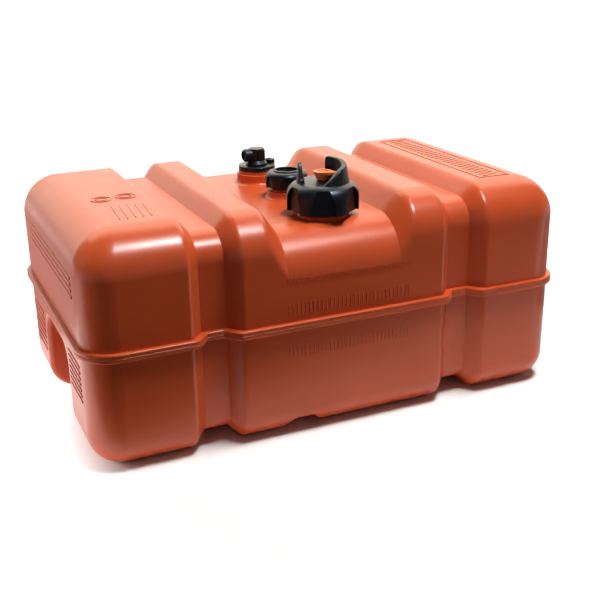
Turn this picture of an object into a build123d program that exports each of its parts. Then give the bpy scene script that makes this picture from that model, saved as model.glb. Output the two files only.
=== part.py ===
"""Portable outboard fuel tank: two welded shells, vented screw cap, float gauge and fuel pickup.

Millimetres, +Z up. X runs along the tank, -Y is the front, and the origin is on the floor
under the middle of the tank.
"""
from build123d import *
from math import cos, degrees, pi, radians, sin
import os

os.makedirs("parts", exist_ok=True)

# ---- Tank body ----
length = 610
width = 368
height = 272
wall = 4.5
top_radius = 48
bottom_radius = 37
corner_radius = 38

# Joint flange between the two shells
joint_height = 140
flange_reach = 5.5
flange_thickness = 5
flange_round = 1.5
joint_round = 0.8

# Strap channels round the body
left_channel_x = -157
right_channel_x = 162
channel_floor = 30
channel_slope = 18
channel_depth = 17

# Recess between the two ridges of the top
recess_floor_half = 72
recess_slope = 24
recess_depth = 25
recess_radius = 54
slope_steps = 6
slope_round_share = 0.4

# Drain channel across the bottom
drain_x = -51
drain_mouth = 58
drain_roof = 24
drain_height = 18
drain_round = 6
drain_edge_round = 8

# Hand grips in the ends
grip_width = 134
grip_top = 112
grip_depth = 45
grip_radius = 25
grip_back_round = 10
grip_edge_round = 6

# ---- Fittings on the recess floor, the cap set back from the front and the pickup from the rear ----
cap_x = 4
cap_setback = 70
gauge_x = 0
gauge_y = -16
pickup_x = -4
pickup_setback = 107

# Clearances shared by the fittings
fit_gap = 0.3
running_fit = 0.1
seal_gap = 0.05
pad_depth = 12
boss_foot_round = 5
boss_edge_round = 1

# Filler neck
neck_radius = 25
neck_bore = 20.5
neck_rise = 25
neck_base_radius = 31
neck_base_rise = 3
thread_pitch = 6
thread_depth = 1.6
thread_root = 2.4
thread_crest = 1.4
thread_turns = 1.75
thread_start = 6.5
thread_bury = 0.2

# Fuel cap
cap_radius = 43
cap_floor_gap = 6.5
cap_shoulder_start = 18
cap_shoulder_rise = 15
cap_crown_rise = 1.5
cap_wall = 3
lobe_count = 6
lobe_phase = 6
scallop_depth = 6
scallop_top = 16
scallop_bottom = 30
scallop_skirt = 10
scallop_rise = 29.5
scallop_round = 4
liner_radius = 30
liner_bore = 27
liner_plate = 3
liner_floor_gap = 2
chamber_radius = 24
gasket_thickness = 2

# Grip guards on the cap
guard_inner = 20
guard_outer = 33
guard_top_inner = 21.5
guard_top_outer = 28
guard_rise = 24.5
guard_low_rise = 16
guard_start_rise = -2.5
guard_start = -120
guard_ramp_end = -70
guard_end = 52
guard_stations = 12
guard_tip_turn = 5
guard_tip_drop = 5
guard_round = 2
fin_middle = 157
fin_half_turn = 27
fin_inner = 21
fin_outer = 32
fin_top_inner = 25
fin_top_outer = 29
fin_rise = 23
fin_low_rise = 4
fin_round = 1.6

# Vent valve in the cap
knob_radius = 11
knob_base_radius = 7
knob_height = 10
knob_gap = 0.6
lever_angle = -50
lever_reach = 19.4
lever_root = 7
lever_width = 8
lever_thickness = 3
lever_tip = 3
knob_roof = 3.5
knob_dish_radius = 7
knob_dish_depth = 1
knob_socket_wall = 1.2
stem_radius = 3
stem_hole = 3.3
vent_disc_radius = 10
vent_disc_thickness = 2
vent_seal_radius = 8.2
vent_seal_wire = 0.7
vent_port_radius = 1.3
vent_port_circle = 5.6
spring_room = 5.6
spring_pocket = 6
spring_radius = 4.9
spring_wire = 0.5
spring_turns = 3

# Fuel gauge
gauge_neck_radius = 19.5
gauge_neck_bore = 16.2
gauge_neck_rise = 19
gauge_base_radius = 25.5
gauge_base_rise = 9
ring_radius = 26.5
ring_floor_gap = 12.5
ring_height = 20.5
ring_shoulder = 6.5
ring_scallop_depth = 3.5
ring_scallop_top = 8
ring_scallop_bottom = 17
ring_scallop_skirt = 7
ring_scallop_rise = 15.5
ring_scallop_round = 2.5
ring_window = 14
ring_lip = 2
ring_bead = 17
ring_bead_rise = 1.6
ring_bead_round = 1.4
gauge_cup_radius = 21.6
gauge_cup_wall = 2
dial_rise = 3
dial_thickness = 0.8
lens_thickness = 2.4
needle_gap = 0.8
needle_thickness = 0.8
needle_length = 12
needle_tail = 5
needle_width = 1.6
spigot_radius = 15.9
spigot_drop = 8
strip_width = 7
strip_thickness = 0.8
strip_hole = 4
strip_step_turn = 7
pin_radius = 1
pin_hole = 1.3
needle_hub = 3
needle_rest = 120
rod_radius = 1.2
rod_offset = 10
foot_height = 12
foot_thickness = 3
foot_radius = 13
float_radius = 15
float_height = 38
float_bore = 4.6
float_bridge = 1.5
float_rest_gap = 4
float_rod_gap = 0.5
float_travel = 185
needle_turn = 300

# Fuel pickup
pickup_boss_radius = 27
pickup_boss_step = 24.5
pickup_boss_rise = 17
pickup_step_rise = 13
pickup_bore = 13
pickup_flange_radius = 24.5
pickup_flange_thickness = 5
pickup_gasket_thickness = 1.5
sleeve_radius = 12.5
sleeve_drop = 8
elbow_spigot_radius = 9
flange_edge_round = 1.5
elbow_base_radius = 14.5
elbow_base_rise = 6
elbow_base_rim = 2
hub_radius = 10.8
hub_height = 16
hub_ribs = 16
hub_rib_radius = 0.8
hub_round = 1.5
stub_radius = 8.5
stub_reach = 19
stub_drop = 8.7
stub_chamfer = 1.8
port_radius = 6
port_depth = 10
passage_radius = 3.5
o_ring_wire = 0.9
clip_thickness = 1
clip_bore = 8
clip_reach = 3.4
clip_shoulder = 1.5
clip_opening = 5
screw_circle = 19.5
screw_count = 4
screw_phase = 12
screw_radius = 2
screw_length = 12
screw_head_radius = 3.6
screw_head_height = 2.4
screw_slot = 0.9
screw_slot_length = 4.4
insert_radius = 3.2
insert_length = 9
lug_offset = 2
lug_rise = 4.5
lug_radius = 6.5
tube_radius = 5
tube_bore = 3.5
tube_seat = 8
tube_in_filter = 4
filter_radius = 8
filter_height = 18
filter_floor_gap = 5
filter_slots = 8
filter_slot_width = 3
filter_wall = 1.2

# ---- Heights that follow ----
recess_top = height - recess_depth
cap_floor = recess_top + cap_floor_gap
neck_rim = recess_top + neck_rise
gasket_top = neck_rim + gasket_thickness
liner_top = gasket_top + liner_plate
cap_shoulder = cap_floor + cap_shoulder_start
cap_top = cap_shoulder + cap_shoulder_rise
cap_crown = cap_top + cap_crown_rise
liner_floor = cap_floor + liner_floor_gap
pad_floor = recess_top - pad_depth
gauge_rim = recess_top + gauge_neck_rise
gauge_seat = gauge_rim + gasket_thickness
ring_floor = recess_top + ring_floor_gap
ring_top = ring_floor + ring_height
lens_top = ring_top - ring_lip
lens_floor = lens_top - lens_thickness
dial_floor = gauge_seat + dial_rise
needle_floor = dial_floor + dial_thickness + needle_gap
foot_floor = foot_height
float_floor = foot_floor + foot_thickness + float_rest_gap
boss_top = recess_top + pickup_boss_rise
flange_floor = boss_top + pickup_gasket_thickness
flange_top = flange_floor + pickup_flange_thickness
sleeve_floor = flange_floor - sleeve_drop
hub_floor = flange_top + elbow_base_rise
hub_top = hub_floor + hub_height
stub_axis = hub_top - stub_drop
cap_axis = (cap_x, cap_setback - width / 2)
gauge_axis = (gauge_x, gauge_y)
pickup_axis = (pickup_x, width / 2 - pickup_setback)


def polar(axis, radius, angle):
    """Plan point at a radius and an angle in degrees round a vertical axis."""
    return (axis[0] + radius * cos(radians(angle)), axis[1] + radius * sin(radians(angle)))


def cross_section(x, inset, drop=0, radius=top_radius):
    """Rounded cross-section of the body at x, with its top lowered by the drop."""
    floor = inset
    roof = height - drop - inset
    with BuildSketch(Plane.YZ.offset(x)) as outline:
        with Locations((0, (roof + floor) / 2)):
            Rectangle(width - 2 * inset, roof - floor)
        fillet(outline.vertices().group_by(Axis.Y)[-1], radius - inset)
        fillet(outline.vertices().group_by(Axis.Y)[0], bottom_radius - inset)
    return outline.sketch


def slope_fall(share):
    """Fall of a slope at a share of its width: rounded at its upper edge, then straight."""
    if share < slope_round_share:
        return share**2 / (slope_round_share * (2 - slope_round_share))
    return (2 * share - slope_round_share) / (2 - slope_round_share)


def slope(x_from, x_to, section_at):
    """Slope of the body between two stations, as a list of sections."""
    shares = [step / slope_steps for step in range(slope_steps + 1)]
    return [section_at(x_from + (x_to - x_from) * share, slope_fall(share)) for share in shares]


def tank_form(inset, rounded=False):
    """Closed form of the whole tank, drawn in from the outside by the inset. The rounded form
    also has soft edges on the drain channel and the hand grips."""
    half_floor = channel_floor / 2 + inset
    half_mouth = half_floor + channel_slope
    recess_half = recess_floor_half + inset
    recess_edge = recess_half + recess_slope
    first = left_channel_x - half_mouth
    last = right_channel_x + half_mouth
    with BuildPart() as form:
        with BuildSketch(Plane.XY.offset(inset)):
            Rectangle(length - 2 * inset, width - 2 * inset)
        extrude(amount=height - 2 * inset)
        fillet(form.edges().filter_by(Axis.Z), corner_radius - inset)
        fillet(form.faces().sort_by(Axis.Z)[0].edges(), bottom_radius - inset)
        fillet(form.faces().sort_by(Axis.Z)[-1].edges(), top_radius - inset)
        # The middle makes way for the channels, ridges and recess
        with BuildSketch(Plane.YZ.offset(first)):
            with Locations((0, height / 2)):
                Rectangle(2 * width, 2 * height)
        extrude(amount=last - first, mode=Mode.SUBTRACT)
        # Strap channels: all four sides drawn in by the channel depth
        for x in (left_channel_x, right_channel_x):
            for side in (-1, 1):
                sections = slope(
                    x + side * half_mouth,
                    x + side * half_floor,
                    lambda place, share: cross_section(place, inset + share * channel_depth),
                )
                loft(sections)
            extrude(cross_section(x - half_floor, inset + channel_depth), amount=2 * half_floor)
        # Ridges at full height
        left_ridge = left_channel_x + half_mouth
        extrude(cross_section(left_ridge, inset), amount=-recess_edge - left_ridge)
        right_ridge = right_channel_x - half_mouth
        extrude(cross_section(recess_edge, inset), amount=right_ridge - recess_edge)
        # Recess, lower and rounder than the ridges
        for side in (-1, 1):
            sections = slope(
                side * recess_edge,
                side * recess_half,
                lambda place, share: cross_section(
                    place,
                    inset,
                    share * recess_depth,
                    top_radius + share * (recess_radius - top_radius),
                ),
            )
            loft(sections)
        extrude(cross_section(-recess_half, inset, recess_depth, recess_radius), amount=2 * recess_half)
        # Drain channel across the bottom
        with BuildSketch(Plane.XZ.offset(-width)) as drain:
            roof = drain_height + inset
            half_roof = drain_roof / 2 + inset
            half_drain = drain_mouth / 2 + inset
            Polygon(
                (drain_x - half_drain, -drain_round),
                (drain_x + half_drain, -drain_round),
                (drain_x + half_drain, 0),
                (drain_x + half_roof, roof),
                (drain_x - half_roof, roof),
                (drain_x - half_drain, 0),
                align=None,
            )
            fillet(drain.vertices().group_by(Axis.Y)[-1], drain_round)
        extrude(amount=2 * width, mode=Mode.SUBTRACT)
        if rounded:
            fillet(drain_mouth_edges(form.edges(Select.LAST)), drain_edge_round)
        # Hand grips, open to the bottom
        for side in (-1, 1):
            with BuildSketch(Plane.YZ.offset(side * (length / 2 - grip_depth - inset))) as grip:
                with Locations((0, (grip_top + inset) / 2 - grip_radius)):
                    Rectangle(grip_width + 2 * inset, grip_top + inset + 2 * grip_radius)
                fillet(grip.vertices().group_by(Axis.Y)[-1], grip_radius + inset)
            extrude(amount=side * length, mode=Mode.SUBTRACT)
            if rounded:
                fillet(grip_back_edges(form.edges(Select.LAST)), grip_back_round)
                fillet(grip_mouth_edges(form.edges(), side), grip_edge_round)
    return form.part


def drain_mouth_edges(edges):
    """Edges where the drain channel leaves the body, without those inside it."""
    near = edges.filter_by(lambda edge: abs(edge.center().X - drain_x) < drain_mouth / 2 + fit_gap)
    low = near.filter_by(lambda edge: edge.center().Z < drain_height + fit_gap)
    return low.filter_by(lambda edge: edge.center().Z < fit_gap or abs(edge.center().Y) > fit_gap)


def grip_back_edges(edges):
    """Edges of a hand grip's back wall, without the one at the floor."""
    back = length / 2 - grip_depth
    upright = edges.filter_by(lambda edge: edge.center().Z > fit_gap)
    return upright.filter_by(lambda edge: abs(abs(edge.center().X) - back) < fit_gap)


def grip_mouth_edges(edges, side):
    """Edges where a hand grip leaves the body, at its end, its rounded foot and its floor."""
    back = length / 2 - grip_depth
    near = edges.filter_by(lambda edge: side * edge.center().X > back - fit_gap)
    grip = near.filter_by(
        lambda edge: abs(edge.center().Y) < grip_width / 2 + fit_gap and edge.center().Z < grip_top + fit_gap
    )
    at_floor = grip.filter_by(lambda edge: edge.center().Z < fit_gap)
    at_end = grip.filter_by(lambda edge: side * edge.center().X > length / 2 - fit_gap)
    at_foot = grip.filter_by(GeomType.CIRCLE).filter_by(lambda edge: edge.center().Z < bottom_radius)
    return ShapeList(set(at_floor + at_end + at_foot))


def ring_face(axis, z, radius, hole=0):
    """Plan face of a disc or ring round a vertical axis, at the height z."""
    with BuildSketch(Plane.XY.offset(z)) as face:
        with Locations(axis):
            Circle(radius)
            if hole:
                Circle(hole, mode=Mode.SUBTRACT)
    return face.sketch


def radial_plane(axis, angle):
    """Upright plane through a vertical axis: its x runs outward at the angle, its y is +Z."""
    turn = radians(angle)
    return Plane(
        origin=(*axis, 0),
        x_dir=(cos(turn), sin(turn), 0),
        z_dir=(sin(turn), -cos(turn), 0),
    )


def turned(axis, angle, points):
    """Face of a radius and height outline, on the radial plane at the angle."""
    with BuildSketch(radial_plane(axis, angle)) as outline:
        with BuildLine():
            Polyline(*points, close=True)
        make_face()
    return outline.sketch


def spun(axis, points, start=0, sweep_angle=360):
    """Solid of an outline of radii and heights, turned round a vertical axis."""
    with BuildPart() as solid:
        revolve(turned(axis, start, points), axis=Axis((*axis, 0), (0, 0, 1)), revolution_arc=sweep_angle)
    return solid.part


def thread_ridge(axis, radius, floor, depth):
    """Helical ridge on a cylinder, standing out by the depth, or inward if it is negative."""
    bury = thread_bury if depth > 0 else -thread_bury
    with BuildPart() as ridge:
        with BuildLine() as coil:
            Helix(thread_pitch, thread_pitch * thread_turns, radius - bury, center=(*axis, floor))
        start = coil.wires()[0]
        with BuildSketch(Plane(origin=start @ 0, x_dir=(1, 0, 0), z_dir=start % 0)):
            Polygon(
                (0, -thread_root / 2),
                (0, thread_root / 2),
                (depth + bury, thread_crest / 2),
                (depth + bury, -thread_crest / 2),
                align=None,
            )
        sweep(is_frenet=True)
    return ridge.part


def flange_half(floor):
    """One shell's half of the joint flange, rounded outside and at the joint line."""
    with BuildPart() as rim:
        add(flange_form)
        with BuildSketch(Plane.XY.offset(floor)):
            Rectangle(2 * length, 2 * width)
        extrude(amount=flange_thickness, mode=Mode.INTERSECT)
        upper = floor == joint_height
        fillet(rim.faces().sort_by(Axis.Z)[-1].edges(), flange_round if upper else joint_round)
        fillet(rim.faces().sort_by(Axis.Z)[0].edges(), joint_round if upper else flange_round)
    return rim.part


def scallops(axis, floor, seat, bottom, top, skirt, rise, rounding):
    """Cutters for the finger scallops of a cap or ring: flat, at a distance from the axis, and
    narrower above the skirt."""
    with BuildPart() as cutters:
        for lobe in range(lobe_count):
            turn = radians(lobe_phase + lobe * 360 / lobe_count)
            out = (cos(turn), sin(turn), 0)
            along = (-sin(turn), cos(turn), 0)
            origin = (*polar(axis, seat, degrees(turn)), floor)
            with BuildSketch(Plane(origin=origin, x_dir=along, z_dir=out)) as scallop:
                Polygon(
                    (-bottom / 2, -rounding),
                    (bottom / 2, -rounding),
                    (bottom / 2, skirt),
                    (top / 2, rise),
                    (-top / 2, rise),
                    (-bottom / 2, skirt),
                    align=None,
                )
                fillet(scallop.vertices().group_by(Axis.Y)[-1], rounding)
            extrude(amount=seat)
    return cutters.part


def guard_section(angle, base, top, rise, rounding):
    """Upright section of a finger guard on the cap. Base and top each give two radii."""
    with BuildSketch(radial_plane(cap_axis, angle)) as section:
        with BuildLine():
            Polyline(
                (base[0], guard_floor),
                (base[1], guard_floor),
                (top[1], cap_top + rise),
                (top[0], cap_top + rise),
                close=True,
            )
        make_face()
        fillet(section.vertices().group_by(Axis.Y)[-1], rounding)
    return section.sketch


def guard_rise_at(angle):
    """Rise of the long guard above the cap: a ramp, then a climb that eases off to its end."""
    ramp = min((angle - guard_start) / (guard_ramp_end - guard_start), 1)
    climb = max((angle - guard_ramp_end) / (guard_end - guard_ramp_end), 0)
    low = guard_start_rise + (guard_low_rise - guard_start_rise) * ramp
    return low + (guard_rise - guard_low_rise) * sin(pi / 2 * climb)


def level_edges(part, level, radius):
    """Round edges of a part at a height, of one radius."""
    edges = part.edges().filter_by(GeomType.CIRCLE).filter_by_position(Axis.Z, level, level)
    return edges.filter_by(lambda edge: abs(edge.radius - radius) < fit_gap)


outer_form = tank_form(0, rounded=True)
inner_form = tank_form(wall)
flange_form = tank_form(-flange_reach)

# ---- Shells ----
with BuildPart() as lower_shell:
    add(outer_form)
    split(bisect_by=Plane.XY.offset(joint_height), keep=Keep.BOTTOM)
    add(flange_half(joint_height - flange_thickness))
    add(inner_form, mode=Mode.SUBTRACT)
lower_shell.part.label = "lower_shell"
export_step(lower_shell.part, "parts/lower_shell.step")

with BuildPart() as upper_shell:
    add(outer_form)
    split(bisect_by=Plane.XY.offset(joint_height), keep=Keep.TOP)
    add(flange_half(joint_height))
    # Pads under the neck, the gauge and the pickup, the last two with soft feet
    extrude(ring_face(cap_axis, pad_floor, neck_base_radius), amount=pad_depth + neck_base_rise)
    for axis, radius, rise in (
        (gauge_axis, gauge_base_radius, gauge_base_rise),
        (pickup_axis, pickup_boss_radius, pickup_step_rise),
    ):
        extrude(ring_face(axis, pad_floor, radius), amount=pad_depth + rise)
        fillet(level_edges(upper_shell, recess_top + rise, radius), boss_edge_round)
        fillet(level_edges(upper_shell, recess_top, radius), boss_foot_round)
    extrude(ring_face(pickup_axis, pad_floor, pickup_boss_step), amount=pad_depth + pickup_boss_rise)
    add(inner_form, mode=Mode.SUBTRACT)
    # Filler neck with its thread, and the gauge neck
    extrude(ring_face(cap_axis, recess_top, neck_radius), amount=neck_rise)
    add(thread_ridge(cap_axis, neck_radius, recess_top + thread_start, thread_depth))
    extrude(ring_face(gauge_axis, recess_top, gauge_neck_radius), amount=gauge_neck_rise)
    # Bores into the tank
    extrude(ring_face(cap_axis, pad_floor, neck_bore), amount=height, mode=Mode.SUBTRACT)
    extrude(ring_face(gauge_axis, pad_floor, gauge_neck_bore), amount=height, mode=Mode.SUBTRACT)
    extrude(ring_face(pickup_axis, pad_floor, pickup_bore), amount=height, mode=Mode.SUBTRACT)
    # Blind seats of the screw inserts
    with Locations((*pickup_axis, boss_top)):
        with PolarLocations(screw_circle, screw_count, start_angle=screw_phase):
            Cylinder(insert_radius, 2 * insert_length, mode=Mode.SUBTRACT)
upper_shell.part.label = "upper_shell"
export_step(upper_shell.part, "parts/upper_shell.step")

# ---- Fuel cap ----
guard_floor = cap_shoulder + cap_shoulder_rise / 2
with BuildPart() as guard:
    guard_step = (guard_end - guard_start) / guard_stations
    sections = []
    for station in range(guard_stations + 1):
        angle = guard_start + station * guard_step
        sections.append(
            guard_section(
                angle,
                (guard_inner, guard_outer),
                (guard_top_inner, guard_top_outer),
                guard_rise_at(angle),
                guard_round,
            )
        )
    sections.append(
        guard_section(
            guard_end + guard_tip_turn,
            (guard_inner, guard_outer),
            (guard_top_inner, guard_top_outer),
            guard_rise - guard_tip_drop,
            guard_round,
        )
    )
    loft(sections)

with BuildPart() as fin:
    sections = []
    for share in (-1, -0.5, 0, 0.5, 1):
        sections.append(
            guard_section(
                fin_middle + share * fin_half_turn,
                (fin_inner, fin_outer),
                (fin_top_inner, fin_top_outer),
                fin_rise - (fin_rise - fin_low_rise) * abs(share) ** 1.5,
                fin_round,
            )
        )
    loft(sections)

with BuildPart() as cap_shell:
    with BuildSketch(radial_plane(cap_axis, 0)):
        with BuildLine():
            Polyline(
                (cap_radius, cap_shoulder),
                (cap_radius, cap_floor),
                (0, cap_floor),
                (0, cap_crown),
                (cap_radius - cap_shoulder_rise, cap_top),
            )
            CenterArc((cap_radius - cap_shoulder_rise, cap_shoulder), cap_shoulder_rise, 0, 90)
        make_face()
    revolve(axis=Axis((*cap_axis, 0), (0, 0, 1)))
    # Finger scallops between the lobes
    add(
        scallops(
            cap_axis,
            cap_floor,
            cap_radius - scallop_depth,
            scallop_bottom,
            scallop_top,
            scallop_skirt,
            scallop_rise,
            scallop_round,
        ),
        mode=Mode.SUBTRACT,
    )
    # Guard and fin for the fingers
    add(guard.part)
    add(fin.part)
    # Seat of the liner, valve chamber and stem hole
    liner_seat = ring_face(cap_axis, cap_floor, liner_radius + fit_gap)
    extrude(liner_seat, amount=liner_top - cap_floor, mode=Mode.SUBTRACT)
    chamber = ring_face(cap_axis, liner_top, chamber_radius)
    extrude(chamber, amount=cap_top - cap_wall - liner_top, mode=Mode.SUBTRACT)
    extrude(ring_face(cap_axis, liner_top, stem_hole), amount=height, mode=Mode.SUBTRACT)
cap_shell.part.label = "cap_shell"
export_step(cap_shell.part, "parts/cap_shell.step")

with BuildPart() as cap_liner:
    extrude(ring_face(cap_axis, liner_floor, liner_radius, liner_bore), amount=gasket_top - liner_floor)
    extrude(ring_face(cap_axis, gasket_top, liner_radius, stem_hole), amount=liner_plate)
    add(thread_ridge(cap_axis, liner_bore, recess_top + thread_start + thread_pitch / 2, -thread_depth))
    # Vent ports through the plate
    with Locations((*cap_axis, gasket_top + liner_plate / 2)):
        with PolarLocations(vent_port_circle, 2):
            Cylinder(vent_port_radius, 2 * liner_plate, mode=Mode.SUBTRACT)
cap_liner.part.label = "cap_liner"
export_step(cap_liner.part, "parts/cap_liner.step")

with BuildPart() as cap_gasket:
    extrude(ring_face(cap_axis, neck_rim, neck_radius, neck_bore), amount=gasket_thickness)
cap_gasket.part.label = "cap_gasket"
export_step(cap_gasket.part, "parts/cap_gasket.step")

# ---- Vent valve ----
disc_top = gasket_top - 2 * vent_seal_wire - seal_gap
disc_floor = disc_top - vent_disc_thickness
knob_floor = cap_crown + knob_gap
knob_top = knob_floor + knob_height
stem_top = knob_top - knob_roof
with BuildPart() as vent_lever:
    for radius, level in ((knob_base_radius, knob_floor), (knob_radius, knob_top)):
        with BuildSketch(Plane.XY.offset(level)):
            with Locations(cap_axis):
                Circle(radius)
    loft()
    lever_turn = radians(lever_angle)
    with BuildSketch(
        Plane(
            origin=(*cap_axis, knob_top - lever_thickness),
            x_dir=(cos(lever_turn), sin(lever_turn), 0),
            z_dir=(0, 0, 1),
        )
    ) as tab:
        Polygon(
            (0, -knob_radius),
            (lever_root, -lever_width),
            (lever_reach, -lever_tip / 2),
            (lever_reach, lever_tip / 2),
            (lever_root, lever_width),
            (0, knob_radius),
            align=None,
        )
    extrude(amount=lever_thickness)
    spring_seat = ring_face(cap_axis, knob_floor, spring_room, stem_radius + knob_socket_wall)
    extrude(spring_seat, amount=spring_pocket, mode=Mode.SUBTRACT)
    extrude(ring_face(cap_axis, knob_floor, stem_radius), amount=stem_top - knob_floor, mode=Mode.SUBTRACT)
    extrude(ring_face(cap_axis, knob_top, knob_dish_radius), amount=-knob_dish_depth, mode=Mode.SUBTRACT)
vent_lever.part.label = "vent_lever"
export_step(vent_lever.part, "parts/vent_lever.step")

with BuildPart() as vent_stem:
    extrude(ring_face(cap_axis, disc_floor, vent_disc_radius), amount=vent_disc_thickness)
    extrude(ring_face(cap_axis, disc_top, stem_radius), amount=stem_top - disc_top)
    with Locations((*cap_axis, disc_floor + vent_disc_thickness / 2)):
        with PolarLocations(vent_port_circle, 2, start_angle=90):
            Cylinder(vent_port_radius, 2 * vent_disc_thickness, mode=Mode.SUBTRACT)
vent_stem.part.label = "vent_stem"
export_step(vent_stem.part, "parts/vent_stem.step")

with BuildPart() as vent_seal:
    with Locations((*cap_axis, disc_top + vent_seal_wire)):
        Torus(vent_seal_radius, vent_seal_wire)
vent_seal.part.label = "vent_seal"
export_step(vent_seal.part, "parts/vent_seal.step")

spring_floor = cap_crown + spring_wire
spring_height = knob_gap + spring_pocket - 2 * spring_wire - seal_gap
with BuildPart() as vent_spring:
    with BuildLine() as spring_coil:
        Helix(spring_height / spring_turns, spring_height, spring_radius, center=(*cap_axis, spring_floor))
    spring_wire_path = spring_coil.wires()[0]
    with BuildSketch(Plane(origin=spring_wire_path @ 0, x_dir=(1, 0, 0), z_dir=spring_wire_path % 0)):
        Circle(spring_wire)
    sweep(is_frenet=True)
vent_spring.part.label = "vent_spring"
export_step(vent_spring.part, "parts/vent_spring.step")

# ---- Fuel gauge ----
with BuildPart() as gauge_ring:
    with BuildSketch(radial_plane(gauge_axis, 0)):
        with BuildLine():
            Polyline(
                (ring_radius, ring_top - ring_shoulder),
                (ring_radius, ring_floor),
                (0, ring_floor),
                (0, ring_top),
                (ring_radius - ring_shoulder, ring_top),
            )
            CenterArc((ring_radius - ring_shoulder, ring_top - ring_shoulder), ring_shoulder, 0, 90)
        make_face()
    revolve(axis=Axis((*gauge_axis, 0), (0, 0, 1)))
    add(
        scallops(
            gauge_axis,
            ring_floor,
            ring_radius - ring_scallop_depth,
            ring_scallop_bottom,
            ring_scallop_top,
            ring_scallop_skirt,
            ring_scallop_rise,
            ring_scallop_round,
        ),
        mode=Mode.SUBTRACT,
    )
    # Seats of the neck, the cup and the lens, and the window
    neck_seat = ring_face(gauge_axis, ring_floor, gauge_neck_radius + fit_gap)
    extrude(neck_seat, amount=gauge_rim - ring_floor, mode=Mode.SUBTRACT)
    cup_seat = ring_face(gauge_axis, gauge_rim, gauge_cup_radius + fit_gap)
    extrude(cup_seat, amount=lens_top - gauge_rim, mode=Mode.SUBTRACT)
    # Rounded bead round the window
    extrude(ring_face(gauge_axis, ring_top, ring_bead), amount=ring_bead_rise)
    fillet(level_edges(gauge_ring, ring_top + ring_bead_rise, ring_bead), ring_bead_round)
    window = ring_face(gauge_axis, lens_top, ring_window)
    extrude(window, amount=ring_lip + ring_bead_rise, mode=Mode.SUBTRACT)
gauge_ring.part.label = "gauge_ring"
export_step(gauge_ring.part, "parts/gauge_ring.step")

with BuildPart() as gauge_gasket:
    extrude(ring_face(gauge_axis, gauge_rim, gauge_neck_radius, gauge_neck_bore), amount=gasket_thickness)
gauge_gasket.part.label = "gauge_gasket"
export_step(gauge_gasket.part, "parts/gauge_gasket.step")

spigot_floor = gauge_seat - spigot_drop
cup_bore = gauge_cup_radius - gauge_cup_wall
with BuildPart() as gauge_body:
    extrude(ring_face(gauge_axis, spigot_floor, spigot_radius), amount=spigot_drop)
    extrude(ring_face(gauge_axis, gauge_seat, gauge_cup_radius), amount=lens_floor - gauge_seat)
    cup_room = ring_face(gauge_axis, dial_floor, cup_bore)
    extrude(cup_room, amount=lens_floor - dial_floor, mode=Mode.SUBTRACT)
    extrude(ring_face(gauge_axis, spigot_floor, strip_hole), amount=spigot_drop, mode=Mode.SUBTRACT)
    extrude(ring_face(gauge_axis, spigot_floor, pin_hole), amount=height, mode=Mode.SUBTRACT)
gauge_body.part.label = "gauge_body"
export_step(gauge_body.part, "parts/gauge_body.step")

with BuildPart() as gauge_dial:
    extrude(ring_face(gauge_axis, dial_floor, cup_bore - fit_gap, pin_hole), amount=dial_thickness)
gauge_dial.part.label = "gauge_dial"
export_step(gauge_dial.part, "parts/gauge_dial.step")

with BuildPart() as gauge_lens:
    extrude(ring_face(gauge_axis, lens_floor, gauge_cup_radius), amount=lens_thickness)
gauge_lens.part.label = "gauge_lens"
export_step(gauge_lens.part, "parts/gauge_lens.step")

strip_floor = foot_floor + foot_thickness + running_fit
strip_top = gauge_seat - running_fit
slot_height = float_floor + float_height - float_bridge / 2
twist_rate = needle_turn / float_travel
strip_steps = round(twist_rate * (strip_top - strip_floor) / strip_step_turn)
with BuildPart() as gauge_strip:
    for step in range(strip_steps + 1):
        level = strip_floor + (strip_top - strip_floor) * step / strip_steps
        with BuildSketch(Plane.XY.offset(level)):
            with Locations(gauge_axis):
                Rectangle(strip_width, strip_thickness, rotation=twist_rate * (level - slot_height))
    loft(ruled=True)
    extrude(ring_face(gauge_axis, foot_floor, pin_radius), amount=strip_floor + pin_radius - foot_floor)
    extrude(
        ring_face(gauge_axis, strip_top - pin_radius, pin_radius),
        amount=needle_floor + needle_thickness - strip_top + pin_radius,
    )
gauge_strip.part.label = "gauge_strip"
export_step(gauge_strip.part, "parts/gauge_strip.step")

with BuildPart() as gauge_needle:
    extrude(ring_face(gauge_axis, needle_floor, needle_hub), amount=needle_thickness)
    with BuildSketch(Plane.XY.offset(needle_floor)):
        with Locations(gauge_axis):
            Polygon(
                (0, -needle_width),
                (needle_length, -needle_width / 4),
                (needle_length, needle_width / 4),
                (0, needle_width),
                (-needle_tail, needle_width / 2),
                (-needle_tail, -needle_width / 2),
                rotation=needle_rest,
                align=None,
            )
    extrude(amount=needle_thickness)
    extrude(ring_face(gauge_axis, needle_floor, pin_radius), amount=needle_thickness, mode=Mode.SUBTRACT)
gauge_needle.part.label = "gauge_needle"
export_step(gauge_needle.part, "parts/gauge_needle.step")

rod_places = [(gauge_x, gauge_y + rod_offset), (gauge_x, gauge_y - rod_offset)]
with BuildPart() as gauge_rods:
    for place in rod_places:
        extrude(ring_face(place, foot_floor, rod_radius), amount=spigot_floor - foot_floor)
gauge_rods.part.label = "gauge_rods"
export_step(gauge_rods.part, "parts/gauge_rods.step")

with BuildPart() as gauge_foot:
    extrude(ring_face(gauge_axis, foot_floor, foot_radius, pin_radius + running_fit), amount=foot_thickness)
    for place in rod_places:
        extrude(ring_face(place, foot_floor, rod_radius), amount=foot_thickness, mode=Mode.SUBTRACT)
gauge_foot.part.label = "gauge_foot"
export_step(gauge_foot.part, "parts/gauge_foot.step")

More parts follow.
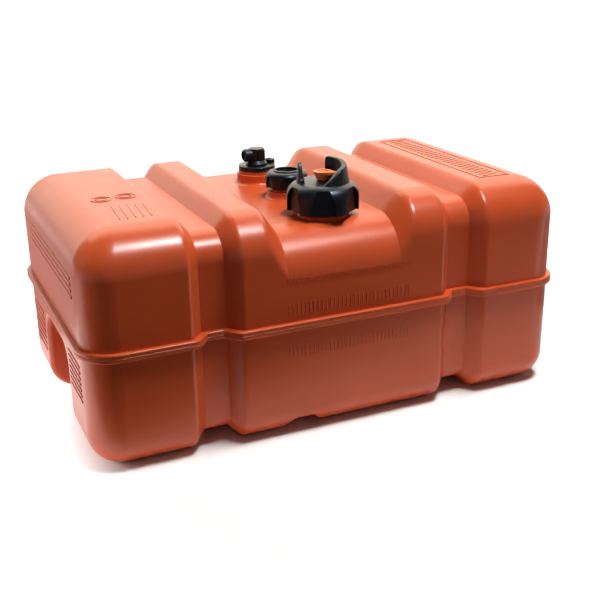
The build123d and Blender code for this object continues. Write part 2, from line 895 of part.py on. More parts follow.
with BuildPart() as gauge_float:
    extrude(ring_face(gauge_axis, float_floor, float_radius), amount=float_height)
    bore = ring_face(gauge_axis, float_floor, float_bore)
    extrude(bore, amount=float_height - float_bridge, mode=Mode.SUBTRACT)
    for place in rod_places:
        rod_hole = ring_face(place, float_floor, rod_radius + float_rod_gap)
        extrude(rod_hole, amount=float_height, mode=Mode.SUBTRACT)
    with BuildSketch(Plane.XY.offset(float_floor)):
        with Locations(gauge_axis):
            Rectangle(strip_width + 2 * fit_gap, strip_thickness + 2 * fit_gap)
    extrude(amount=float_height, mode=Mode.SUBTRACT)
gauge_float.part.label = "gauge_float"
export_step(gauge_float.part, "parts/gauge_float.step")

# ---- Fuel pickup ----
with BuildPart() as pickup_gasket:
    gasket_face = ring_face(pickup_axis, boss_top, pickup_flange_radius, pickup_bore)
    extrude(gasket_face, amount=pickup_gasket_thickness)
    with Locations((*pickup_axis, boss_top)):
        with PolarLocations(screw_circle, screw_count, start_angle=screw_phase):
            Cylinder(screw_radius + fit_gap, 2 * height, mode=Mode.SUBTRACT)
pickup_gasket.part.label = "pickup_gasket"
export_step(pickup_gasket.part, "parts/pickup_gasket.step")

lug_place = polar(pickup_axis, screw_circle + lug_offset, screw_phase)
with BuildPart() as pickup_flange:
    extrude(ring_face(pickup_axis, flange_floor, pickup_flange_radius), amount=pickup_flange_thickness)
    fillet(pickup_flange.edges().group_by(Axis.Z)[-1], flange_edge_round)
    extrude(ring_face(lug_place, flange_floor, lug_radius), amount=pickup_flange_thickness + lug_rise)
    extrude(ring_face(pickup_axis, sleeve_floor, sleeve_radius), amount=sleeve_drop)
    elbow_bore = ring_face(pickup_axis, sleeve_floor, elbow_spigot_radius + running_fit)
    extrude(elbow_bore, amount=height, mode=Mode.SUBTRACT)
    with Locations((*pickup_axis, flange_top)):
        with PolarLocations(screw_circle, screw_count, start_angle=screw_phase):
            CounterBoreHole(
                screw_radius + fit_gap,
                screw_head_radius + fit_gap,
                screw_head_height,
                depth=pickup_flange_thickness,
            )
    lug_screw = polar(pickup_axis, screw_circle, screw_phase)
    lug_hole = ring_face(lug_screw, flange_top, screw_head_radius + fit_gap)
    extrude(lug_hole, amount=lug_rise, mode=Mode.SUBTRACT)
pickup_flange.part.label = "pickup_flange"
export_step(pickup_flange.part, "parts/pickup_flange.step")

head_floor = flange_top - screw_head_height
with BuildPart() as pickup_screws:
    for screw in range(screw_count):
        place = polar(pickup_axis, screw_circle, screw_phase + screw * 360 / screw_count)
        extrude(ring_face(place, head_floor, screw_head_radius), amount=screw_head_height)
        extrude(ring_face(place, head_floor, screw_radius), amount=-screw_length)
        with BuildSketch(Plane.XY.offset(flange_top)):
            with Locations(place):
                Rectangle(screw_slot_length, screw_slot)
                Rectangle(screw_slot, screw_slot_length)
        extrude(amount=-screw_slot, mode=Mode.SUBTRACT)
pickup_screws.part.label = "pickup_screws"
export_step(pickup_screws.part, "parts/pickup_screws.step")

with BuildPart() as pickup_inserts:
    for screw in range(screw_count):
        place = polar(pickup_axis, screw_circle, screw_phase + screw * 360 / screw_count)
        extrude(ring_face(place, boss_top, insert_radius, screw_radius), amount=-insert_length)
pickup_inserts.part.label = "pickup_inserts"
export_step(pickup_inserts.part, "parts/pickup_inserts.step")

clip_top = sleeve_floor - running_fit
elbow_floor = clip_top - clip_thickness - clip_shoulder
o_ring_height = flange_floor - sleeve_drop / 2
o_ring_radius = elbow_spigot_radius + running_fit / 2 - o_ring_wire
with BuildPart() as pickup_elbow:
    add(
        spun(
            pickup_axis,
            (
                (0, elbow_floor),
                (elbow_spigot_radius, elbow_floor),
                (elbow_spigot_radius, flange_top + running_fit),
                (elbow_base_radius, flange_top + running_fit),
                (elbow_base_radius, flange_top + elbow_base_rim),
                (hub_radius, hub_floor),
                (hub_radius, hub_top),
                (0, hub_top),
            ),
        )
    )
    fillet(pickup_elbow.edges().group_by(Axis.Z)[-1], hub_round)
    # Ribs for the fingers
    for rib in range(hub_ribs):
        place = polar(pickup_axis, hub_radius, rib * 360 / hub_ribs)
        extrude(ring_face(place, hub_floor, hub_rib_radius), amount=hub_height - 2 * hub_round)
    # Sideways stub with its port
    with BuildSketch(Plane.YZ.offset(pickup_x)):
        with Locations((pickup_axis[1], stub_axis)):
            Circle(stub_radius)
    extrude(amount=-stub_reach)
    chamfer(pickup_elbow.faces().sort_by(Axis.X)[0].edges(), stub_chamfer)
    with BuildSketch(Plane.YZ.offset(pickup_x - stub_reach)):
        with Locations((pickup_axis[1], stub_axis)):
            Circle(port_radius)
    extrude(amount=port_depth, mode=Mode.SUBTRACT)
    with BuildSketch(Plane.YZ.offset(pickup_x - stub_reach)):
        with Locations((pickup_axis[1], stub_axis)):
            Circle(passage_radius)
    extrude(amount=stub_reach, mode=Mode.SUBTRACT)
    passage = ring_face(pickup_axis, elbow_floor, passage_radius)
    extrude(passage, amount=stub_axis - elbow_floor, mode=Mode.SUBTRACT)
    # Seat of the tube, and the grooves of the O-ring and the clip
    extrude(ring_face(pickup_axis, elbow_floor, tube_radius), amount=tube_seat, mode=Mode.SUBTRACT)
    groove_floor = o_ring_height - o_ring_wire - seal_gap
    groove_radius = o_ring_radius - o_ring_wire - seal_gap
    groove = ring_face(pickup_axis, groove_floor, 2 * elbow_spigot_radius, groove_radius)
    extrude(groove, amount=2 * (o_ring_wire + seal_gap), mode=Mode.SUBTRACT)
    extrude(
        ring_face(pickup_axis, clip_top, 2 * elbow_spigot_radius, clip_bore),
        amount=-clip_thickness,
        mode=Mode.SUBTRACT,
    )
pickup_elbow.part.label = "pickup_elbow"
export_step(pickup_elbow.part, "parts/pickup_elbow.step")

with BuildPart() as elbow_o_ring:
    with Locations((*pickup_axis, o_ring_height)):
        Torus(o_ring_radius, o_ring_wire)
elbow_o_ring.part.label = "elbow_o_ring"
export_step(elbow_o_ring.part, "parts/elbow_o_ring.step")

with BuildPart() as elbow_clip:
    extrude(ring_face(pickup_axis, clip_top, clip_bore + clip_reach, clip_bore), amount=-clip_thickness)
    # Gap that lets the clip open
    with BuildSketch(Plane.XY.offset(clip_top)):
        with Locations((pickup_x + clip_bore, pickup_axis[1])):
            Rectangle(2 * clip_reach, clip_opening)
    extrude(amount=-clip_thickness, mode=Mode.SUBTRACT)
elbow_clip.part.label = "elbow_clip"
export_step(elbow_clip.part, "parts/elbow_clip.step")

filter_floor = wall + filter_floor_gap
filter_top = filter_floor + filter_height
with BuildPart() as pickup_tube:
    tube_floor = filter_top - tube_in_filter
    tube_top = elbow_floor + tube_seat
    extrude(ring_face(pickup_axis, tube_floor, tube_radius, tube_bore), amount=tube_top - tube_floor)
pickup_tube.part.label = "pickup_tube"
export_step(pickup_tube.part, "parts/pickup_tube.step")

with BuildPart() as pickup_filter:
    extrude(ring_face(pickup_axis, filter_floor, filter_radius), amount=filter_height)
    extrude(
        ring_face(pickup_axis, filter_floor + filter_wall, filter_radius - filter_wall),
        amount=filter_height - tube_in_filter - filter_wall,
        mode=Mode.SUBTRACT,
    )
    extrude(ring_face(pickup_axis, filter_top, tube_radius), amount=-tube_in_filter, mode=Mode.SUBTRACT)
    with Locations((*pickup_axis, filter_floor + filter_wall)):
        with PolarLocations(filter_radius, filter_slots):
            Box(
                2 * (filter_wall + fit_gap),
                filter_slot_width,
                filter_height - tube_in_filter - 2 * filter_wall,
                align=(Align.CENTER, Align.CENTER, Align.MIN),
                mode=Mode.SUBTRACT,
            )
pickup_filter.part.label = "pickup_filter"
export_step(pickup_filter.part, "parts/pickup_filter.step")
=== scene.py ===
from math import cos, pi, radians, sin

import bmesh
import bpy
from mathutils import Matrix, Vector


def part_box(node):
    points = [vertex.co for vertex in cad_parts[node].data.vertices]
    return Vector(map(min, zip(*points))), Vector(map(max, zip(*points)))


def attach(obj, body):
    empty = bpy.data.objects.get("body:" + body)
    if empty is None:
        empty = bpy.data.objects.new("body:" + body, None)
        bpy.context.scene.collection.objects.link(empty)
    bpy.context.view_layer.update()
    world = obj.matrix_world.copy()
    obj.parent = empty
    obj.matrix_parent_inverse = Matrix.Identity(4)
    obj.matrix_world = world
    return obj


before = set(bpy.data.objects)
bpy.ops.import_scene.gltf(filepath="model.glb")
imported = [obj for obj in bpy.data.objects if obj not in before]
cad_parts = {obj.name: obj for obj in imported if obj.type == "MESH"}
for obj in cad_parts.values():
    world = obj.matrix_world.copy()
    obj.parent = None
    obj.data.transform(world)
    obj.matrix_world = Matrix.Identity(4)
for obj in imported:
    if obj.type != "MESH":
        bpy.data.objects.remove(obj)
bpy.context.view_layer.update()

MM = 0.001


# ---- shared helpers ------------------------------------------------------------------------

def linear(code):
    """Turns an sRGB hex colour into the linear colour that a shader takes."""
    shares = [int(code[place:place + 2], 16) / 255 for place in (0, 2, 4)]
    return [s / 12.92 if s <= 0.04045 else ((s + 0.055) / 1.055) ** 2.4 for s in shares] + [1.0]


def add(tree, kind, settings=None, links=None):
    """Adds a node. Settings go to its sockets or its own properties, links to its sockets."""
    made = tree.nodes.new(kind)
    for name, value in (settings or {}).items():
        if isinstance(name, int) or name in made.inputs:
            made.inputs[name].default_value = value
        else:
            setattr(made, name, value)
    for name, source in (links or {}).items():
        tree.links.new(source, made.inputs[name])
    return made


def new_finish(name, **constants):
    """Starts a finish: a material with its constants set on the shader's own sockets."""
    material = bpy.data.materials.new(name)
    material.use_nodes = True
    shader = material.node_tree.nodes["Principled BSDF"]
    for socket, value in constants.items():
        shader.inputs[socket.replace("_", " ")].default_value = value
    return material, material.node_tree, shader


def dress(node, material):
    """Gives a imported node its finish."""
    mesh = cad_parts[node].data
    mesh.materials.clear()
    mesh.materials.append(material)


def new_piece(name, bm, material):
    """Makes an object of a finished bmesh, with its place in its mesh."""
    mesh = bpy.data.meshes.new(name)
    bm.to_mesh(mesh)
    bm.free()
    mesh.materials.append(material)
    made = bpy.data.objects.new(name, mesh)
    bpy.context.scene.collection.objects.link(made)
    return made


def hide_from(made, *rays):
    """Hides a stage piece or a lamp from kinds of rays, such as glossy ones."""
    for ray in rays:
        setattr(made, f"visible_{ray}", False)


# ---- finishes ------------------------------------------------------------------------------

def tank_polyethylene():
    """Orange polyethylene, moulded against blasted steel.

    It gives the eye a satin orange that lets a little light in, with faint clouds in its colour
    and gloss. The mould's real grain is too fine to show, so it is drawn 2.2 mm wide.
    """
    cloud, haze, grain = 60 * MM, 22 * MM, 2.2 * MM
    material, tree, shader = new_finish(
        "moulded_polyethylene_orange", IOR=1.52, Specular_IOR_Level=0.38,
        Subsurface_Weight=0.12, Subsurface_Radius=(1.0, 0.25, 0.1), Subsurface_Scale=4 * MM,
    )
    place = add(tree, "ShaderNodeTexCoord").outputs["Object"]
    clouds = add(tree, "ShaderNodeTexNoise", {"Scale": 1 / cloud, "Detail": 3.0},
                 {"Vector": place})
    colour = add(tree, "ShaderNodeMix",
                 {"data_type": "RGBA", 6: linear("B84820"), 7: linear("C34F26")},
                 {0: clouds.outputs["Fac"]})
    tree.links.new(colour.outputs[2], shader.inputs["Base Color"])
    hazes = add(tree, "ShaderNodeTexNoise", {"Scale": 1 / haze, "Detail": 5.0},
                {"Vector": place})
    rough = add(tree, "ShaderNodeMapRange", {"To Min": 0.27, "To Max": 0.35},
                {"Value": hazes.outputs["Fac"]})
    tree.links.new(rough.outputs["Result"], shader.inputs["Roughness"])
    grains = add(tree, "ShaderNodeTexNoise", {"Scale": 1 / grain, "Detail": 2.0},
                 {"Vector": place})
    bump = add(tree, "ShaderNodeBump", {"Strength": 0.25, "Distance": 0.05 * MM},
               {"Height": grains.outputs["Fac"]})
    tree.links.new(bump.outputs["Normal"], shader.inputs["Normal"])
    return material


def plain_plastic(name, low, high, roughness, grain, depth, shine="FFFFFF"):
    """Moulded plastic, or a coat as plain: a slight mottle between two colours, and its grain.

    The grain's width and depth are in millimetres. It is drawn wider than real grain, to show.
    """
    mottle, sway = 12 * MM, 0.06
    material, tree, shader = new_finish(
        name, IOR=1.5, Specular_IOR_Level=0.45, Specular_Tint=linear(shine))
    place = add(tree, "ShaderNodeTexCoord").outputs["Object"]
    mottles = add(tree, "ShaderNodeTexNoise", {"Scale": 1 / mottle, "Detail": 4.0},
                  {"Vector": place})
    colour = add(tree, "ShaderNodeMix",
                 {"data_type": "RGBA", 6: linear(low), 7: linear(high)},
                 {0: mottles.outputs["Fac"]})
    tree.links.new(colour.outputs[2], shader.inputs["Base Color"])
    rough = add(tree, "ShaderNodeMapRange",
                {"To Min": roughness - sway, "To Max": roughness + sway},
                {"Value": mottles.outputs["Fac"]})
    tree.links.new(rough.outputs["Result"], shader.inputs["Roughness"])
    grains = add(tree, "ShaderNodeTexNoise", {"Scale": 1 / (grain * MM), "Detail": 2.0},
                 {"Vector": place})
    bump = add(tree, "ShaderNodeBump", {"Strength": 0.5, "Distance": depth * MM},
               {"Height": grains.outputs["Fac"]})
    tree.links.new(bump.outputs["Normal"], shader.inputs["Normal"])
    return material


def brushed_metal(name, code, roughness, grain):
    """Drawn or turned metal: fine marks, wider than real ones, scatter its shine a little."""
    material, tree, shader = new_finish(name, Metallic=1.0, Base_Color=linear(code))
    place = add(tree, "ShaderNodeTexCoord").outputs["Object"]
    marks = add(tree, "ShaderNodeTexNoise", {"Scale": 1 / (grain * MM), "Detail": 4.0},
                {"Vector": place})
    rough = add(tree, "ShaderNodeMapRange",
                {"To Min": roughness - 0.08, "To Max": roughness + 0.1},
                {"Value": marks.outputs["Fac"]})
    tree.links.new(rough.outputs["Result"], shader.inputs["Roughness"])
    bump = add(tree, "ShaderNodeBump", {"Strength": 0.3, "Distance": 0.01 * MM},
               {"Height": marks.outputs["Fac"]})
    tree.links.new(bump.outputs["Normal"], shader.inputs["Normal"])
    return material


def nitrile_foam():
    """Closed-cell nitrile foam of the float: matt black, with small pores cut on its skin."""
    pore = 0.9 * MM
    material, tree, shader = new_finish(
        "closed_cell_foam_black", Roughness=0.85, Specular_IOR_Level=0.3)
    place = add(tree, "ShaderNodeTexCoord").outputs["Object"]
    pores = add(tree, "ShaderNodeTexVoronoi", {"Scale": 1 / pore}, {"Vector": place})
    colour = add(tree, "ShaderNodeMix",
                 {"data_type": "RGBA", 6: linear("1A1A1A"), 7: linear("343434")},
                 {0: pores.outputs["Distance"]})
    tree.links.new(colour.outputs[2], shader.inputs["Base Color"])
    bump = add(tree, "ShaderNodeBump", {"Strength": 0.6, "Distance": 0.2 * MM},
               {"Height": pores.outputs["Distance"]})
    tree.links.new(bump.outputs["Normal"], shader.inputs["Normal"])
    return material


def clear_window():
    """Clear polycarbonate of the gauge's window: a sharp shine over the dial, faintly hazed."""
    haze = 5 * MM
    material, tree, shader = new_finish(
        "clear_polycarbonate", IOR=1.58, Transmission_Weight=1.0, Base_Color=linear("E9F0EE"))
    place = add(tree, "ShaderNodeTexCoord").outputs["Object"]
    hazes = add(tree, "ShaderNodeTexNoise", {"Scale": 1 / haze, "Detail": 3.0},
                {"Vector": place})
    rough = add(tree, "ShaderNodeMapRange", {"To Min": 0.02, "To Max": 0.1},
                {"Value": hazes.outputs["Fac"]})
    tree.links.new(rough.outputs["Result"], shader.inputs["Roughness"])
    return material


ORANGE = tank_polyethylene()
# Moulded nylon: near black with a soft sheen along its edges; the sheen's cool tint is painted
# colour that offsets the warm cards' light.
BLACK = plain_plastic("moulded_nylon_black", "060607", "0C0C0E", 0.36, 1.1, 0.04,
                      shine="D4E8FF")
# Moulded polypropylene: a lighter and duller orange than the tank's.
KNOB = plain_plastic("moulded_polypropylene_orange", "DB6A33", "E4763E", 0.42, 1.0, 0.03)
# Moulded acetal, left uncoloured: milky white, slightly waxy.
NATURAL = plain_plastic("moulded_acetal_natural", "D9D6CC", "E4E1D8", 0.4, 1.5, 0.02)
# Printed card: a dull black ground for the strokes.
CARD = plain_plastic("printed_card_black", "101314", "181B1C", 0.6, 0.6, 0.01)
# Printing ink: an even, dull white.
MARKS = plain_plastic("printed_ink_white", "D8D8D2", "E6E6E0", 0.55, 0.6, 0.01)
# Nitrile rubber: soft black, hardly any shine.
RUBBER = plain_plastic("nitrile_rubber_black", "0D0D0D", "181818", 0.62, 0.8, 0.03)
# Enamel on aluminium sheet: a bright red, smooth and fairly glossy.
PAINT = plain_plastic("painted_aluminium_red", "B5200F", "C42A14", 0.35, 1.0, 0.01)
# Drawn stainless wire and rod: cool grey with a soft streaked shine.
STEEL = brushed_metal("drawn_stainless_steel", "B9BBBD", 0.3, 0.8)
# Black oxide on steel: dark grey that still shines as metal.
BLACKED = brushed_metal("black_oxide_steel", "24262A", 0.38, 0.6)
# Turned brass: warm yellow with fine tool marks.
BRASS = brushed_metal("turned_brass", "C9A05A", 0.3, 0.6)
# Rolled aluminium strip: pale grey, a little duller than the steel.
ALUMINIUM = brushed_metal("plain_aluminium_strip", "C6C8CA", 0.34, 0.8)
FOAM = nitrile_foam()
WINDOW = clear_window()

FINISHES = (
    (ORANGE, ("lower_shell", "upper_shell")),
    (BLACK, ("cap_shell", "gauge_ring", "pickup_flange", "pickup_elbow")),
    (KNOB, ("vent_lever",)),
    (NATURAL, ("cap_liner", "vent_stem", "gauge_body", "gauge_foot", "pickup_tube",
               "pickup_filter")),
    (WINDOW, ("gauge_lens",)),
    (CARD, ("gauge_dial",)),
    (PAINT, ("gauge_needle",)),
    (RUBBER, ("cap_gasket", "vent_seal", "gauge_gasket", "elbow_o_ring", "pickup_gasket")),
    (STEEL, ("vent_spring", "gauge_rods", "elbow_clip")),
    (BLACKED, ("pickup_screws",)),
    (BRASS, ("pickup_inserts",)),
    (ALUMINIUM, ("gauge_strip",)),
    (FOAM, ("gauge_float",)),
)
for finish, nodes in FINISHES:
    for node in nodes:
        dress(node, finish)


# ---- moulded reliefs and dial marks --------------------------------------------------------

RIB_RISE = 0.7 * MM
RIB_SINK = 0.5 * MM  # how far a relief starts below the face
RIB_ROUND = 0.3 * MM
END_RISE = 1.1 * MM
STROKE_RISE = 0.08 * MM
STROKE_SINK = 0.04 * MM
RING_STEPS = 48

FLANGE_REACH = 5.5 * MM  # from the shell's faces out to the joint flange's edge
shell_low, shell_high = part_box("upper_shell")
dial_low, dial_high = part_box("gauge_dial")
FRONT_FACE = shell_low.y + FLANGE_REACH
LEFT_FACE = shell_low.x + FLANGE_REACH
DIAL_MIDDLE = (dial_low.y + dial_high.y) / 2

# Each face takes reliefs in its own plane: where its origin is, and how its two axes run.
FRONT = Matrix(((1, 0, 0, 0), (0, 0, -1, FRONT_FACE), (0, 1, 0, 0), (0, 0, 0, 1)))
LEFT_END = Matrix(((0, 0, -1, LEFT_FACE), (-1, 0, 0, 0), (0, 1, 0, 0), (0, 0, 0, 1)))
TOP = Matrix.Translation((0, 0, shell_high.z))
DIAL = Matrix.Translation((0, DIAL_MIDDLE, dial_high.z))


def rib(bm, across, up, length, width, turn=0.0, rise=RIB_RISE, sink=RIB_SINK):
    """Adds a low straight rib, its middle at (across, up) millimetres. A high one is rounded."""
    made = bmesh.ops.create_cube(bm, size=1)["verts"]
    bmesh.ops.scale(bm, vec=(length * MM, width * MM, rise + sink), verts=made)
    top = [v for v in made if v.co.z > 0]
    edges = [e for e in {e for v in top for e in v.link_edges} if all(v in top for v in e.verts)]
    bmesh.ops.translate(bm, vec=(0, 0, (rise - sink) / 2), verts=made)
    bmesh.ops.rotate(bm, matrix=Matrix.Rotation(turn, 3, "Z"), verts=made)
    bmesh.ops.translate(bm, vec=(across * MM, up * MM, 0), verts=made)
    if rise > RIB_ROUND:
        bmesh.ops.bevel(bm, geom=edges, offset=RIB_ROUND, segments=2, profile=0.5,
                        affect="EDGES", material=-1)


def ring(bm, across, up, radius, width):
    """Adds a low ring with chamfered edges, its middle at (across, up) millimetres."""
    middle = Vector((across * MM, up * MM, 0))
    half = width / 2 * MM
    section = (
        (-half, -RIB_SINK),
        (-half, RIB_RISE - RIB_ROUND),
        (RIB_ROUND - half, RIB_RISE),
        (half - RIB_ROUND, RIB_RISE),
        (half, RIB_RISE - RIB_ROUND),
        (half, -RIB_SINK),
    )
    verts = [bm.verts.new(middle + Vector((radius * MM + out, 0, high))) for out, high in section]
    edges = [bm.edges.new(pair) for pair in zip(verts, verts[1:] + verts[:1])]
    bmesh.ops.spin(bm, geom=verts + edges, cent=middle, axis=(0, 0, 1), angle=2 * pi,
                   steps=RING_STEPS, use_merge=True)


def place_relief(name, bm, plane, body, finish):
    """Turns a relief into its plane and makes it a piece that rides on its body."""
    bmesh.ops.transform(bm, matrix=plane, verts=bm.verts)
    bmesh.ops.recalc_face_normals(bm, faces=bm.faces)
    made = new_piece(name, bm, finish)
    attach(made, body)


# In the functions below, sizes and places are in millimetres, along the plane's two axes.

def front_ribs():
    """Three rows of short upright ribs on the front, two above the flange and one below it."""
    rows = ((194, 6, 3.4), (160, 14, 5.2), (108, 14, 5.2))  # middle, rib height and pitch
    first, reach, width = -72, 158, 1.3
    bm = bmesh.new()
    for up, height, pitch in rows:
        for step in range(int(reach / pitch) + 1):
            rib(bm, first + step * pitch, up, width, height)
    place_relief("front_ribs", bm, FRONT, "tank", ORANGE)


def end_ribs():
    """Long ribs above the flange on the left end, and short ones beside the hand grip."""
    long_middle, long_length, long_width = 13, 250, 2.8
    short_length, short_width, short_count = 60, 2.4, 7
    groups = ((-108, 55, 8.5), (112, 76, 7))  # beside the grip: middle, lowest rib and pitch
    bm = bmesh.new()
    for up in (198, 205.5, 213, 220.5):
        rib(bm, long_middle, up, long_length, long_width, rise=END_RISE)
    for middle, lowest, pitch in groups:
        for step in range(short_count):
            rib(bm, middle, lowest + step * pitch, short_length, short_width, rise=END_RISE)
    place_relief("end_ribs", bm, LEFT_END, "tank", ORANGE)


def top_rings():
    """Two double rings and five slanting ribs on the left block's top."""
    outer_radius, outer_width = 12, 1.6
    inner_radius, inner_width = 7, 1.2
    first, up, pitch, count = -239, -89, 9, 5
    length, width, turn = 58, 1.5, radians(85)
    bm = bmesh.new()
    for middle in ((-240, -23), (-210, -20)):
        ring(bm, *middle, outer_radius, outer_width)
        ring(bm, *middle, inner_radius, inner_width)
    for step in range(count):
        rib(bm, first + step * pitch, up, length, width, turn=turn)
    place_relief("top_rings", bm, TOP, "tank", ORANGE)


def top_panel():
    """A framed panel with slanting ribs on the right block's top."""
    across, up = 233, -5
    half_width, half_length, bar = 21, 129.2, 1.6
    first, pitch, count, length, turn = -124, 9.5, 26, 26, radians(20)
    bm = bmesh.new()
    for side in (-1, 1):
        rib(bm, across + side * half_width, up, bar, 2 * half_length + bar)
    for side in (-1, 1):
        rib(bm, across, up + side * half_length, 2 * half_width - bar, bar)
    for step in range(count):
        rib(bm, across, first + step * pitch, length, bar, turn=turn)
    place_relief("top_panel", bm, TOP, "tank", ORANGE)


def dial_marks():
    """Plain strokes round the dial, from one end of the pointer's swing to the other."""
    first, pitch, count = 120, 25, 13  # in degrees
    radius, length, width = 11.5, 2.6, 0.7
    bm = bmesh.new()
    for step in range(count):
        angle = radians(first - step * pitch)
        rib(bm, radius * cos(angle), radius * sin(angle), length, width, turn=angle,
            rise=STROKE_RISE, sink=STROKE_SINK)
    place_relief("dial_marks", bm, DIAL, "tank", MARKS)


front_ribs()
end_ribs()
top_rings()
top_panel()
dial_marks()


# ---- camera --------------------------------------------------------------------------------

CAMERA_PLACE = (-475.6 * MM, -1127.0 * MM, 552.2 * MM)
CAMERA_TURN = radians(23.854)  # from +Y towards +X
CAMERA_FALL = radians(20.322)  # below the horizon
CAMERA_ROLL = radians(-0.9205)
CAMERA_LENS = 58.178
CAMERA_SENSOR = 36
CAMERA_SIGHT = 100  # how far it sees, in metres

camera = bpy.data.objects.new("camera", bpy.data.cameras.new("camera"))
bpy.context.scene.collection.objects.link(camera)
camera.data.lens = CAMERA_LENS
camera.data.sensor_width = CAMERA_SENSOR
camera.data.clip_end = CAMERA_SIGHT
camera.matrix_world = (
    Matrix.Translation(CAMERA_PLACE)
    @ Matrix.Rotation(-CAMERA_TURN, 4, "Z")
    @ Matrix.Rotation(pi / 2 - CAMERA_FALL, 4, "X")
    @ Matrix.Rotation(CAMERA_ROLL, 4, "Z")
)
bpy.context.scene.camera = camera


# ---- floor and cards, in metres and degrees ------------------------------------------------

FLOOR_HALF = 40
WALL_REACH = 38
WALL_HEIGHT = 60
CARD_LIFT = 3 * MM  # a card on the paper lies this far above it
FLAG_LIFT = 4 * MM
# The paper's glow is painted light, not a lamp: it lifts the tank's shadow on the paper and sets
# how bright the paper shows in the tank's reflections.
GLOW_MIDDLE = (200 * MM, -140 * MM, 0)  # the paper under the tank stays unlit round here
GLOW_BANDS = (  # distance from there, from and to, and the glow that each band adds, from and to
    (0.46, 0.56, 0.0, 1.3),
    (0.62, 0.95, 0.0, -0.65),
    (1.10, 2.20, 0.0, 0.45),
)


def floor_finish():
    """Matt white paper with a painted glow in bands by distance: it rises just past the tank to
    lift the tank's cast shadow by the left end, dips further out, and rises again far off.
    """
    material, tree, shader = new_finish(
        "backdrop_paper", Roughness=0.9, Specular_IOR_Level=0.1, Base_Color=linear("F6F5F3"),
        Emission_Color=linear("FFFFFF"))
    place = add(tree, "ShaderNodeTexCoord").outputs["Object"]
    moved = add(tree, "ShaderNodeVectorMath", {"operation": "SUBTRACT", 1: GLOW_MIDDLE},
                {0: place})
    reach = add(tree, "ShaderNodeVectorMath", {"operation": "LENGTH"}, {0: moved.outputs[0]})
    glow = None
    for start, full, low, high in GLOW_BANDS:
        band = add(tree, "ShaderNodeMapRange",
                   {"interpolation_type": "SMOOTHSTEP", "From Min": start, "From Max": full,
                    "To Min": low, "To Max": high},
                   {"Value": reach.outputs["Value"]}).outputs["Result"]
        if glow:
            band = add(tree, "ShaderNodeMath", {"operation": "ADD"},
                       {0: glow, 1: band}).outputs[0]
        glow = band
    tree.links.new(glow, shader.inputs["Emission Strength"])
    return material


def card_finish(name, code, strength=0.0, glow="FFFFFF"):
    """A studio card: matt, black or glowing."""
    material, _, _ = new_finish(
        name, Roughness=1.0, Specular_IOR_Level=0.0, Base_Color=linear(code),
        Emission_Color=linear(glow), Emission_Strength=strength)
    return material


def stage_piece(name, bm, material):
    """Makes a part of the studio, which isn't part of the tank."""
    made = new_piece(name, bm, material)
    return made


def sheet(name, half, middle, material, turn=0, rise=0):
    """A flat sheet. It is turned about Z after its far edge is lifted by the rise."""
    bm = bmesh.new()
    bmesh.ops.create_grid(bm, x_segments=1, y_segments=1, size=1)
    bmesh.ops.scale(bm, vec=(*half, 1), verts=bm.verts)
    bmesh.ops.rotate(bm, matrix=Matrix.Rotation(radians(rise), 3, "X"), verts=bm.verts)
    bmesh.ops.rotate(bm, matrix=Matrix.Rotation(radians(turn), 3, "Z"), verts=bm.verts)
    bmesh.ops.translate(bm, vec=middle, verts=bm.verts)
    return stage_piece(name, bm, material)


def far_wall():
    """A round pale wall far out, seen by the camera alone, so that the paper seems endless."""
    bm = bmesh.new()
    bmesh.ops.create_circle(bm, segments=64, radius=WALL_REACH)
    raised = bmesh.ops.extrude_edge_only(bm, edges=bm.edges[:])["geom"]
    upper = [item for item in raised if isinstance(item, bmesh.types.BMVert)]
    bmesh.ops.translate(bm, vec=(0, 0, WALL_HEIGHT), verts=upper)
    made = stage_piece("far_wall", bm, card_finish("glowing_wall", "FFFFFF", 1.1))
    hide_from(made, "diffuse", "glossy", "transmission", "shadow")


sheet("floor", (FLOOR_HALF, FLOOR_HALF), (0, 0, 0), floor_finish())
far_wall()

# A black card in front keeps the fronts dark, where they would mirror the glowing paper.
flag = sheet("flag", (2.6, 1.6), (0.42, -2.155, FLAG_LIFT), card_finish("black_card", "0A0A0A"),
             turn=-18)
hide_from(flag, "camera", "shadow")

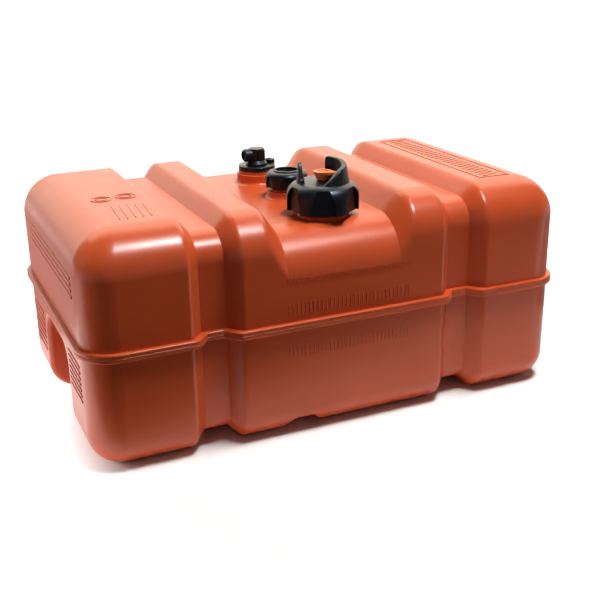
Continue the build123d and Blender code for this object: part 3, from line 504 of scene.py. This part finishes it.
# Warm cards behind and above, and grey ones on the paper by both ends, show only in the shine.
SHINE_CARDS = (  # name, half sizes, middle, turn and rise, finish
    ("back_card", (3.4, 1.0), (0.9, 2.6, 1.35), -20, 90,
     card_finish("white_card", "FFFFFF", 1.25, "FFEDCC")),
    ("upper_card", (2.6, 0.9), (0.7, 1.6, 2.6), -20, 148,
     card_finish("upper_card", "FFFFFF", 2.9, "FFEDCC")),
    ("left_card", (0.5, 0.55), (-0.55, 0.8, CARD_LIFT), 0, 0,
     card_finish("left_card", "101010", 0.5)),
    ("right_card", (0.6, 0.75), (1.1, 0.35, CARD_LIFT), 0, 0,
     card_finish("right_card", "101010", 0.25)),
)
for name, half, middle, turn, rise, finish in SHINE_CARDS:
    card = sheet(name, half, middle, finish, turn=turn, rise=rise)
    hide_from(card, "camera", "diffuse", "shadow")


# ---- lamps ---------------------------------------------------------------------------------

AIM = Vector((0, 0, 0.15))  # where the lamps point, in metres
LAMPS = (  # name, which way it stands, how far off, width and height, watts, rays that miss it
    ("key", (0.2, -0.22, 0.93), 1.7, (0.75, 0.36), 38.5, "glossy"),
    ("spark", (0.12, -0.46, 0.9), 1.7, (0.18, 0.2), 24, "diffuse"),
    ("streak", (0.3, -0.46, 0.9), 1.7, (0.6, 0.2), 8, "diffuse"),
    ("left_fill", (-1.0, 0.25, 0.35), 2.0, (1.2, 1.0), 13, "glossy"),
)
WORLD_GLOW = 0.09


def softbox(name, towards, distance, size, watts, missed_by):
    """A soft area light, aimed at the tank."""
    lamp = bpy.data.lights.new(name, "AREA")
    lamp.shape = "RECTANGLE"
    lamp.size, lamp.size_y = size
    lamp.energy = watts
    made = bpy.data.objects.new(name, lamp)
    made.location = AIM + Vector(towards).normalized() * distance
    made.rotation_euler = (AIM - made.location).to_track_quat("-Z", "Y").to_euler()
    bpy.context.scene.collection.objects.link(made)
    hide_from(made, missed_by)


for lamp_settings in LAMPS:
    softbox(*lamp_settings)

world = bpy.data.worlds.new("studio")
world.use_nodes = True
background = world.node_tree.nodes["Background"]
background.inputs["Color"].default_value = linear("FFFFFF")
background.inputs["Strength"].default_value = WORLD_GLOW
bpy.context.scene.world = world
bpy.context.scene.view_settings.view_transform = "Standard"
